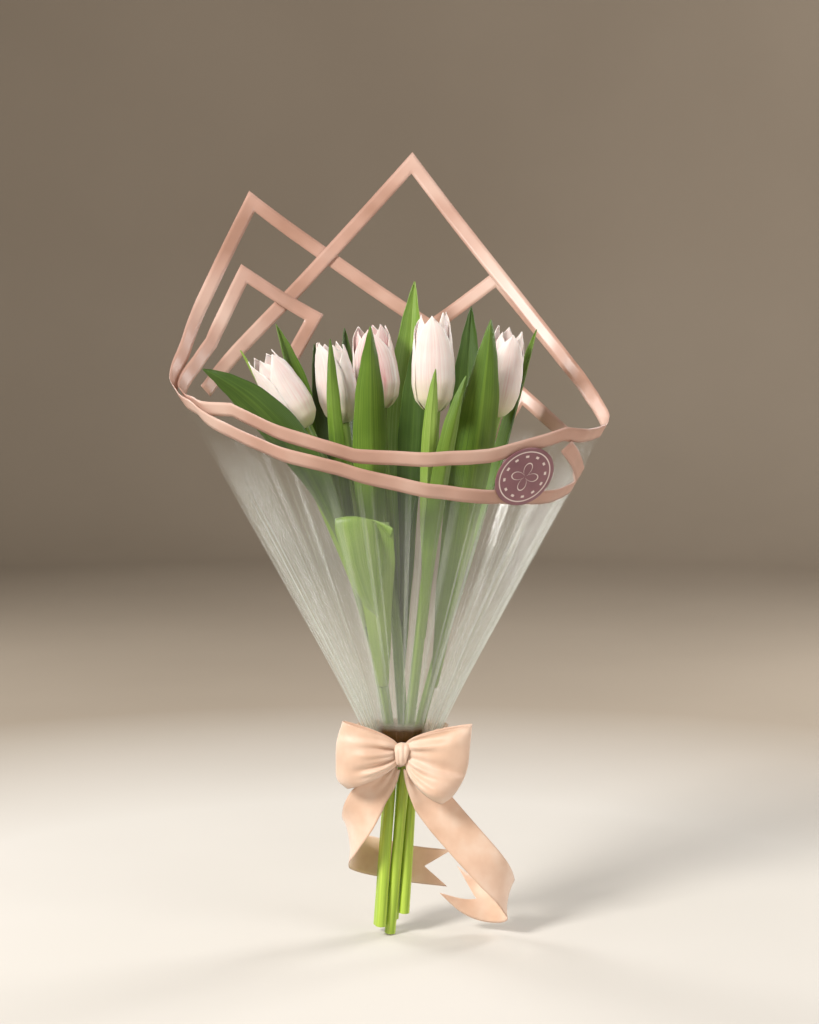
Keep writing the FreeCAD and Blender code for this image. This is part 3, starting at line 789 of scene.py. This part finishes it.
def stem(name, centres, number):
    """A stem: a little uneven, flared under its bloom, with a bevelled cut foot."""
    points = []
    place = []
    side = X_AXIS
    for u in steps(STEM_ROWS):
        centre = catmull(centres, u)
        along = (catmull(centres, u + 0.01) - catmull(centres, u - 0.01)).normalized()
        side = (side - along * side.dot(along)).normalized()
        other = along.cross(side)
        flare = 0.9 * smooth((u - 0.975) / 0.025)
        narrow = lerp(1.0, 0.88, u)
        for column in range(STEM_COLUMNS):
            angle = tau * column / STEM_COLUMNS
            around = side * cos(angle) + other * sin(angle)
            bumps = noise.noise(around * 0.9 + Vector((number * 7.0, 0.0, u * 9.0)))
            radius = STEM_RADIUS * (narrow + 0.05 * bumps) + flare
            points.append(centre + around * radius)
            place.append((u, column / STEM_COLUMNS, 0.2 * number / 5))
    faces = grid_faces(STEM_ROWS, STEM_COLUMNS, closed=True)
    foot = sum(points[:STEM_COLUMNS], Vector()) / STEM_COLUMNS
    for inset, drop in ((0.0, 0.0), (0.16, 0.35), (0.55, 0.30)):
        first = len(points)
        for point in points[:STEM_COLUMNS]:
            low = lerp(point, foot, inset)
            points.append(Vector((low.x, low.y, max(point.z - drop, 0.02))))
            place.append((0.0, 0.0, 1.0))
        if inset:
            faces += grid_faces(2, STEM_COLUMNS, closed=True, first=first - STEM_COLUMNS)
    points.append(Vector((foot.x, foot.y, points[-1].z)))
    place.append((0.0, 0.0, 1.0))
    last = len(points) - 1
    faces += [(last, last - 1 - column, last - 1 - (column + 1) % STEM_COLUMNS)
              for column in range(STEM_COLUMNS)]
    return make_piece(name, points, faces, place)


# How a petal's distance from the bloom's axis and its half angle change up the bloom.
PETAL_REACH = ((0.0, 0.38), (0.05, 0.64), (0.14, 0.88), (0.30, 1.0), (0.50, 0.99), (0.70, 0.91),
               (0.85, 0.80), (0.95, 0.71), (1.0, 0.66))
PETAL_SPREAD = ((0.0, 46.0), (0.12, 60.0), (0.34, 67.0), (0.60, 66.0), (0.76, 57.0),
                (0.87, 40.0), (0.94, 23.0), (1.0, 1.5))
PETAL_ROWS = 34
PETAL_COLUMNS = 17
PETAL_THICKNESS = 0.45


def petal_points(bloom, spin, inset, height, lean_out):
    """One cupped petal: it overlaps its left neighbour and slips under its right one."""
    base, axis, side, radius, length = bloom
    other = axis.cross(side)

    def surface(u, v):
        reach = sample(PETAL_REACH, u) * radius - inset
        angle = radians(spin + sample(PETAL_SPREAD, u) * v)
        ripple = uneven(spin * 0.13, u * 3.2, v * 1.7)
        edge = abs(v) ** 3
        rib = exp(-(v / 0.14) ** 2) * smooth(u * 4) * (1 - 0.6 * u)
        reach += 0.35 * v * smooth(u * 5) - 0.4 * rib
        reach += 0.4 * ripple * smooth(u * 3) + lean_out * smooth((u - 0.6) / 0.4)
        reach += 0.25 * edge * sin(9 * u + spin) * u
        around = side * cos(angle) + other * sin(angle)
        dip = 1.2 * edge * smooth((u - 0.6) / 0.3)
        return base + around * reach + axis * (u * height * length - dip)

    return surface


def petal_ring(name, bloom, spin, inset, heights, lean_out):
    """Three petals round the bloom, each with a height and a seed of its own."""
    ring = []
    for index, height in enumerate(heights):
        surface = petal_points(bloom, spin + 120 * index, inset, height, lean_out)
        petal = grid_piece("petal", surface, PETAL_ROWS, PETAL_COLUMNS, own=spin + 5 * index)
        thicken(petal, PETAL_THICKNESS)
        ring.append(petal)
    return joined(name, ring)


def flower(tulip, number, petal_look, spin):
    """A stem and its bloom, placed by their CAD nodes; returns the stem's middle line."""
    centres = ring_centres(tulip + "_stem")
    dress(stem(tulip + "_green_stem", centres, number), STEM, tulip, tulip + "_stem")
    base = centres[-1]
    shell = node_points(tulip + "_outer_petals")
    axis = (sum(shell, Vector()) / len(shell) - base).normalized()
    length = max((point - base).dot(axis) for point in shell)
    radius = max((point - base - axis * (point - base).dot(axis)).length for point in shell)
    side = (X_AXIS - axis * X_AXIS.dot(axis)).normalized()
    bloom = (base, axis, side, radius, length)
    for ring, turn, inset, heights, lean_out in (
            ("outer", 0, 0.4, (0.97, 1.0, 0.93), 0.8), ("inner", 60, 1.5, (1.0, 0.94, 0.98), 0.2)):
        petals = petal_ring(f"{tulip}_{ring}_whorl", bloom, spin + turn, inset, heights, lean_out)
        dress(petals, petal_look, tulip, f"{tulip}_{ring}_petals")
    for part, look in (("pistil", PISTIL), ("stamens", ANTHER)):
        repaint(frame["nodes"][f"{tulip}_{part}"], look)
    return centres


# How a leaf's half width and the curl of its section change from its foot to its tip.
LEAF_WIDTH = ((0.0, 0.30), (0.12, 0.50), (0.30, 0.80), (0.50, 0.97), (0.64, 1.0), (0.78, 0.84),
              (0.89, 0.52), (0.96, 0.24), (1.0, 0.02))
LEAF_CURL = ((0.0, 78.0), (0.10, 62.0), (0.30, 34.0), (0.55, 22.0), (0.85, 24.0), (1.0, 40.0))
LEAF_ROWS = 64
LEAF_COLUMNS = 15
LEAF_THICKNESS = 0.55

# A leaf's place on its stem, its full width, its bends and its character.
Leaf = namedtuple("Leaf", "place height azimuth width poles look twist fold wave droop",
                  defaults=(0.0, 0.0, 0.5, 0.0))
LEAF_STAND_OFF = 1.9


def stem_point(centres, height):
    """The stem's middle at a height of the upright bundle."""
    upright = [LEAN.inverted() @ centre for centre in centres]
    low, high = 0.0, 1.0
    for _ in range(30):
        middle = (low + high) / 2
        if catmull(upright, middle).z < height:
            low = middle
        else:
            high = middle
    return catmull(upright, low)


def leaf_surface(start, leaf):
    """The blade: clasping its stem at the foot, hollow, waved at its edges and pointed."""
    outward = polar(1.0, leaf.azimuth)
    poles = [start + outward * (STEM_RADIUS + LEAF_STAND_OFF)] + [Vector(p) for p in leaf.poles]
    level_side = Z_AXIS.cross(outward)

    def surface(u, v):
        centre = bezier(poles, u)
        along = (bezier(poles, min(u + 0.005, 1.0)) - bezier(poles, max(u - 0.005, 0.0)))
        along.normalize()
        across = (level_side - along * level_side.dot(along)).normalized()
        inward = along.cross(across)
        turn = Matrix.Rotation(radians(leaf.twist * smooth(u)), 3, along)
        across = turn @ across
        inward = turn @ inward
        half = leaf.width / 2 * sample(LEAF_WIDTH, u)
        curl = radians(sample(LEAF_CURL, u))
        bend_radius = half / curl
        lateral = bend_radius * sin(curl * v)
        depth = bend_radius * (1 - cos(curl * v))
        crease = radians(leaf.fold) * smooth(u * 3)
        depth += abs(v) * half * sin(crease) - leaf.droop * v * v * smooth((u - 0.15) / 0.3)
        lateral *= cos(crease)
        seed = leaf.azimuth * 0.37 + leaf.width
        wave = leaf.wave * (v * abs(v)) * sin(11 * u + seed) * smooth(u * 4) * (1 - u * 0.6)
        ripple = uneven(seed, u * 5.0, v * 1.4) * 0.9
        groove = -0.35 * exp(-(v / 0.12) ** 2)
        ridges = 0.06 * cos(v * 26.0)
        lift = depth + wave + ripple * smooth(u * 3) + groove + ridges
        return LEAN @ (centre + across * lateral + inward * lift)

    return surface


def leaf_piece(tulip, centres, leaf):
    surface = leaf_surface(stem_point(centres, leaf.height), leaf)
    piece = grid_piece(f"{tulip}_blade_{leaf.place}", surface, LEAF_ROWS, LEAF_COLUMNS,
                       own=leaf.azimuth * 0.1)
    thicken(piece, LEAF_THICKNESS)
    subdivide(piece)
    dress(piece, leaf.look, tulip, f"{tulip}_leaf_{leaf.place}")


CREAM_PETAL = petal_material("petal_cream", 0.50)
BLUSH_PETAL = petal_material("petal_blush", 1.6)

# Leaf middle lines are Bezier poles in the upright bundle, as the solids behind them have.
TULIPS = (
    ("tulip_left", CREAM_PETAL, 75, (
        Leaf("lower", 203, 208, 25, [(-62, -46, 334), (-139, -42, 363)], LEAF_WITH_PAINTED_SHADE, twist=85, wave=0.9),
        Leaf("middle", 215, 250, 12, [(-57, -20, 300), (-62, -13, 386)], MID_LEAF, fold=20),
        Leaf("upper", 188, 302, 23, [(-32, -23, 300), (-37, -29, 396)], MID_LEAF, twist=-25, fold=12),
        Leaf("folded", 165, 276, 38, [(-22, -36, 245), (-44, -60, 345), (-28, -56, 250),
                                      (-20, -38, 214)], LEAF_WITH_PAINTED_LIGHT, twist=-26, wave=0.3,
             droop=11.0),
    )),
    ("tulip_mid_left", CREAM_PETAL, 110, (
        Leaf("lower", 180, 138, 20, [(-72, 44, 320), (-100, 38, 392)], MID_LEAF, fold=20),
        Leaf("middle", 205, 188, 13, [(-76, 20, 305), (-121, 18, 374)], LEAF_WITH_PAINTED_LIGHT, fold=15),
        Leaf("upper", 225, 110, 20, [(-62, 32, 310), (-74, 30, 381)], LEAF_WITH_PAINTED_SHADE, twist=20),
    )),
    ("tulip_back", BLUSH_PETAL, 20, (
        Leaf("lower", 170, 80, 28, [(-12, 56, 300), (-11, 69, 426)], LEAF_WITH_PAINTED_LIGHT, fold=22),
        Leaf("middle", 200, 20, 20, [(-6, 30, 300), (-7, 26, 393)], LEAF_WITH_PAINTED_SHADE, twist=60),
        Leaf("upper", 215, 165, 18, [(-49, 61, 320), (-56, 68, 392)], LEAF_WITH_PAINTED_SHADE, twist=-40),
    )),
    ("tulip_front", CREAM_PETAL, 268, (
        Leaf("lower", 200, 300, 15, [(10, -66, 300), (24, -58, 370)], MID_LEAF, fold=25),
        Leaf("upper", 230, 270, 10, [(2, -62, 320), (5, -56, 373)], LEAF_WITH_PAINTED_LIGHT, fold=15),
    )),
    ("tulip_right", CREAM_PETAL, 40, (
        Leaf("lower", 165, 320, 30, [(35, -32, 290), (38, -28, 405)], MID_LEAF, twist=-50, fold=18),
        Leaf("middle", 190, 60, 22, [(30, 38, 320), (27, 40, 412)], LEAF_WITH_PAINTED_SHADE, fold=15, twist=20),
        Leaf("upper", 215, 40, 12, [(58, 30, 335), (70, 26, 400)], MID_LEAF, fold=20),
    )),
)

for number, (tulip, petal_look, spin, leaves) in enumerate(TULIPS):
    middle_line = flower(tulip, number, petal_look, spin)
    for leaf in leaves:
        leaf_piece(tulip, middle_line, leaf)


# ---- ribbon bow, tails and seal
KNOT_LOW, KNOT_HIGH = (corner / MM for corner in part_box("bow_knot"))
KNOT = (KNOT_LOW + KNOT_HIGH) / 2
RIBBON_THICKNESS = 0.4
KNOT_THICKNESS = 0.9


def ribbon_band():
    """The turn of ribbon round the neck: loose at its top edge, drawn into the knot in front."""
    low, high = (corner.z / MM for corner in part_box("ribbon_band"))
    front = radians(270)

    def surface(u, v):
        theta = tau * u
        to_front = smooth(1 - abs(theta - front) / radians(42))
        half = lerp((high - low) / 2 + 6.0, 5.5, to_front)
        middle = lerp((high + low) / 2 + 4.0, KNOT.z - 1.5, to_front)
        rise = middle + half * v - CONE_APEX
        creases = uneven(cos(theta) * 4, sin(theta) * 4, v * 0.8)
        pleats = 0.5 * sin(v * 7 + 3 * sin(2 * theta)) * to_front
        spread = 3.2 + 1.6 * smooth(v) * (1 - to_front) + 0.7 * creases + pleats
        return film_point(theta, rise, spread + 3.0 * to_front)

    band = grid_piece("neck_ribbon", surface, 181, 15)
    thicken(band, RIBBON_THICKNESS)
    dress(band, SATIN, "wrap", "ribbon_band")


# How far a loop stands in front of the knot's middle and behind it.
LOOP_FRONT = 6.5
LOOP_BACK = 3.6


def bow_loop(name, node, side, turn_line, spread, swell):
    """One loop: it leaves the knot gathered, fans out, turns at its end and comes back behind.

    turn_line is the line that the loop turns on, from its lower to its upper edge, in front
    view. The smaller the spread, the sooner the ribbon opens out. swell tells how far the
    face stands forward across the ribbon.
    """
    turn_points = [Vector((x, 0.0, z)) for x, z in turn_line]

    def surface(u, v):
        angle = tau * u
        share = (1 - cos(angle)) / 2
        front = smooth((sin(angle) + 0.25) * 2)
        start = Vector((KNOT.x + side * 2.5, 0.0, KNOT.z + 6.0 * v))
        end = catmull(turn_points, (v + 1) / 2)
        fanned = share ** spread
        place = Vector((lerp(start.x, end.x, share), 0.0, lerp(start.z, end.z, fanned)))
        gathered = 1 - smooth(share / 0.9)
        folds = cos(9.5 * v + 0.8 * side) + 0.7 * cos(17 * v + 2.0)
        crease = uneven(share * 2.6 + 9 * side, v * 2.2, 3.0 + front)
        ahead = lerp(LOOP_BACK, LOOP_FRONT, front) * sin(angle) * share ** 0.3
        ahead += (1.9 * gathered * smooth(share * 5) * folds + 2.4 * crease * share
                  + swell(v) * share * (1.2 - share)) * lerp(-0.3, 1.0, front)
        return place + Vector((0.0, KNOT.y - ahead, 0.0))

    loop = grid_piece(name, surface, 121, 41)
    thicken(loop, RIBBON_THICKNESS)
    dress(loop, SATIN, "wrap", node)


LEFT_TURN = ((-27.0, 102.5), (-33.2, 109.0), (-34.0, 120.0), (-33.4, 133.0), (-29.5, 146.5))
RIGHT_TURN = ((34.0, 93.0), (42.5, 100.5), (49.5, 114.0), (51.5, 130.0), (53.0, 144.5))


def left_swell(v):
    """One full face with a soft fold below its upper edge."""
    return 9.0 * (1 - v * v) - 3.0 * exp(-((v - 0.72) / 0.12) ** 2)


def right_swell(v):
    """Two lobes, with a deep fold between them that runs out from the knot."""
    lower = sin(pi * clamp(-v - 0.05))
    upper = sin(pi * clamp(v + 0.05))
    return 15.0 * lower + 8.0 * upper + 8.0 * smooth((-v - 0.02) / 0.12)


def bow_knot():
    """The ribbon wrapped over the middle of the bow: waisted, with folds that run down it."""
    half_height = (KNOT_HIGH.z - KNOT_LOW.z) / 2
    half_depth = (KNOT_HIGH.y - KNOT_LOW.y) / 2 + 0.8

    def surface(u, v):
        angle = tau * u
        high = sin(angle)
        half_width = lerp(3.4, 5.0, smooth((high + 1) / 2))
        edge = 1 - 0.30 * abs(v) ** 3
        folds = 0.42 * cos(9 * v + 1.2 * high) * (1 - abs(v) ** 4)
        lump = 0.5 * uneven(u * 6.0, v * 2.0, 1.0)
        depth = (half_depth * edge + folds + lump) * -cos(angle)
        level = (half_height * edge + folds * 0.4) * high
        return KNOT + Vector((half_width * v + 0.5 * high, depth, level))

    rows, columns = 72, 15
    place = [(row / rows, 2 * v - 1, 0.0) for row in range(rows) for v in steps(columns)]
    points = [surface(u, v) for u, v, _ in place]
    faces = grid_faces(rows, columns)
    last = (rows - 1) * columns
    faces += [(last + column, last + column + 1, column + 1, column) for column in range(columns - 1)]
    knot = make_piece("bow_centre", points, faces, place)
    thicken(knot, KNOT_THICKNESS)
    subdivide(knot)
    dress(knot, SATIN, "wrap", "bow_knot")


# A tail's middle line, the directions across it and the depth of its notched end.
Tail = namedtuple("Tail", "name node body centres directions notch")
RIBBON_WIDTH = 25
GATHERED_WIDTHS = [8, 16, 24]


def ribbon_tail(tail):
    """A tail: gathered where it leaves the knot, curled across and notched at its end."""
    centres = [Vector(centre) for centre in tail.centres]
    directions = [Vector(direction).normalized() for direction in tail.directions]
    widths = GATHERED_WIDTHS + [RIBBON_WIDTH] * (len(centres) - len(GATHERED_WIDTHS))
    length = sum((b - a).length for a, b in zip(centres, centres[1:]))

    def surface(u, v):
        at = u * (1 - (tail.notch / length) * (1 - abs(v)) * smooth((u - 0.55) / 0.45))
        centre = catmull(centres, at)
        along = (catmull(centres, at + 0.01) - catmull(centres, at - 0.01)).normalized()
        across = catmull(directions, at)
        across = (across - along * across.dot(along)).normalized()
        out = along.cross(across)
        slot = at * (len(widths) - 1)
        index = min(int(slot), len(widths) - 2)
        half = lerp(widths[index], widths[index + 1], slot - index) / 2
        gathered = 1 - smooth(at / 0.22)
        folds = 1.3 * gathered * cos(3 * pi * v)
        curl = 1.0 * v * v * smooth(at * 3)
        wave = 0.9 * uneven(at * 6.0, v * 0.7, len(tail.name))
        return centre + across * (half * v) + out * (folds + curl + wave * smooth(at * 5))

    piece = grid_piece(tail.name, surface, 140, 15)
    thicken(piece, RIBBON_THICKNESS)
    dress(piece, SATIN, tail.body, tail.node)


TAILS = (
    Tail("left_tail", "ribbon_tail_left", "tail_left",
         [(3.5, -23, 116), (-3, -19, 106), (-14, -17, 93), (-20, -17, 80), (-24, -13, 69),
          (-25.5, -2, 59), (-20, 9, 52), (-5, 16, 46), (15, 19, 41), (39.5, 20, 38)],
         [(0.9, 0, -0.45), (0.9, 0, -0.45), (0.9, -0.05, -0.45), (0.75, -0.45, -0.5),
          (0.4, -0.75, -0.55), (0, -0.8, -0.6), (-0.35, -0.5, -0.8), (-0.3, -0.1, -0.95),
          (-0.15, 0, -1), (0.15, 0, -1)],
         11.0),
    Tail("right_tail", "ribbon_tail_right", "tail_right",
         [(13, -23, 116), (18, -19, 106), (26, -17, 94), (36, -17, 81), (50, -17, 64.5),
          (64, -16, 48), (74.5, -10, 33), (77, -2, 23), (67, 5, 18.5), (53, 8, 23),
          (39, 9, 34)],
         [(0.85, 0, 0.55), (0.8, 0.05, 0.6), (0.76, 0.05, 0.65), (0.76, 0.1, 0.65),
          (0.74, 0.2, 0.65), (0.65, 0.4, 0.65), (0.4, 0.62, 0.68), (0.2, 0.5, 0.84),
          (-0.15, 0.25, 0.95), (0.2, 0.5, 0.85), (0.65, 0.65, 0.39)],
         21.0),
)


def bow():
    ribbon_band()
    bow_loop("left_loop", "bow_loop_left", -1, LEFT_TURN, 0.66, left_swell)
    bow_loop("right_loop", "bow_loop_right", 1, RIGHT_TURN, 0.50, right_swell)
    bow_knot()
    for tail in TAILS:
        ribbon_tail(tail)
    repaint(frame["nodes"]["binding_band"], RUBBER)


bow()

SEAL_RADIUS = 20.0
SEAL_AZIMUTH = 311.0
SEAL_HEIGHT = 307.0
SEAL_RINGS = 24
SEAL_SPOKES = 72


def seal():
    """The round seal, bent with the film across both rims."""
    middle = (radians(SEAL_AZIMUTH), SEAL_HEIGHT - CONE_APEX)
    flat = flat_spot(*middle)
    up = flat.normalized()
    right = Vector((-up.y, up.x))
    turns = [tau * spoke / SEAL_SPOKES for spoke in range(SEAL_SPOKES)]

    def spot(share, angle):
        x, y = share * cos(angle), share * sin(angle)
        on_film = flat + right * (x * SEAL_RADIUS) + up * (y * SEAL_RADIUS)
        theta, rise = rolled_spot(on_film, unroll(middle[0]))
        return film_point(theta, rise, 2.4), (x, y, 0.0)

    piece = sheet("round_seal", steps(SEAL_RINGS + 1), turns, spot, True)
    thicken(piece, STRIP_THICKNESS)
    dress(piece, SEAL, "wrap", "seal_sticker")


seal()


# ---- stage, light and camera
def stage_material():
    """Pale round the bouquet, taupe from there out and up the wall, with painted light that leaves the
    wall lighter on the right.
    """
    look = Look("studio_paint")
    position = look.position()
    cloud = look.noise(position, 2.2, 3.0)
    paint = look.ramp(cloud, (0.3, (166, 153, 137)), (0.7, (172, 159, 143)))
    # Painted light: the wall is darkened towards the left and kept full towards the right.
    sideways = look.node("SeparateXYZ", {0: position}).outputs[0]
    painted_light_falloff = look.ramp(look.plus(look.times(sideways, 0.6), 0.5),
                      (0.1, (214, 212, 208)), (0.9, (255, 255, 255)))
    wall = look.mix(1.0, paint, painted_light_falloff, "MULTIPLY")
    ground = look.ramp(cloud, (0.3, (198, 193, 185)), (0.7, (204, 199, 192)))
    distance = look.node("VectorMath", {0: position}, operation="LENGTH").outputs["Value"]
    away = look.ramp(distance, (0.38, 0.0), (0.80, 1.0))
    colour = look.mix(away, ground, wall)
    return look.finish(look.principled(colour, 0.75))


FLOOR_RADIUS = 2000
FLOOR_LEVEL = -0.5
COVE_RADIUS = 500
WALL_HEIGHT = 2600


def stage():
    """A round pale floor that turns up into a taupe wall on every side."""
    def ground(u, v):
        return polar(FLOOR_RADIUS * u, 180 * v, FLOOR_LEVEL)

    def wall(u, v):
        angle = radians(90 * clamp(u * 2))
        height = COVE_RADIUS * (1 - cos(angle)) + FLOOR_LEVEL + WALL_HEIGHT * clamp(u * 2 - 1)
        return polar(FLOOR_RADIUS + COVE_RADIUS * sin(angle), 180 * v, height)

    paint = stage_material()
    for name, surface, rows in (("floor", ground, 5), ("backdrop", wall, 61)):
        piece = grid_piece(name, surface, rows, 96, closed=True)
        repaint(piece, paint)


LIGHT_TARGET = Vector((0.0, 0.0, 0.3))


def area_light(name, place, size, power, colour=(1.0, 1.0, 1.0)):
    data = bpy.data.lights.new(name, "AREA")
    data.shape = "RECTANGLE"
    data.size, data.size_y = size
    data.energy = power
    data.color = colour
    lamp = bpy.data.objects.new(name, data)
    link(lamp)
    lamp.location = place
    lamp.visible_camera = False
    lamp.rotation_euler = (LIGHT_TARGET - Vector(place)).to_track_quat("-Z", "Y").to_euler()


def light_and_camera():
    area_light("key", (-1.2, -1.2, 1.4), (0.5, 0.5), 54, (1.0, 0.98, 0.95))
    area_light("fill", (1.5, -1.0, 0.9), (1.0, 1.0), 12, (0.97, 0.98, 1.0))
    area_light("rim_right", (1.1, 0.8, 0.9), (0.5, 1.1), 15)
    area_light("rim_left", (-1.1, 0.9, 0.8), (0.5, 1.1), 13)
    world = bpy.data.worlds.new("studio")
    world.use_nodes = True
    background = world.node_tree.nodes["Background"].inputs
    background["Color"].default_value = srgb(236, 234, 230)
    background["Strength"].default_value = 0.46
    bpy.context.scene.world = world
    camera_data = bpy.data.cameras.new("camera")
    camera_data.lens = 76.9
    camera = bpy.data.objects.new("camera", camera_data)
    link(camera)
    camera.location = (0.013, -1.400, 0.420)
    camera.rotation_euler = (radians(90 - 5.8), 0, 0)
    bpy.context.scene.camera = camera
    bpy.context.scene.view_settings.view_transform = "Standard"


stage()
light_and_camera()
bpy.context.view_layer.update()
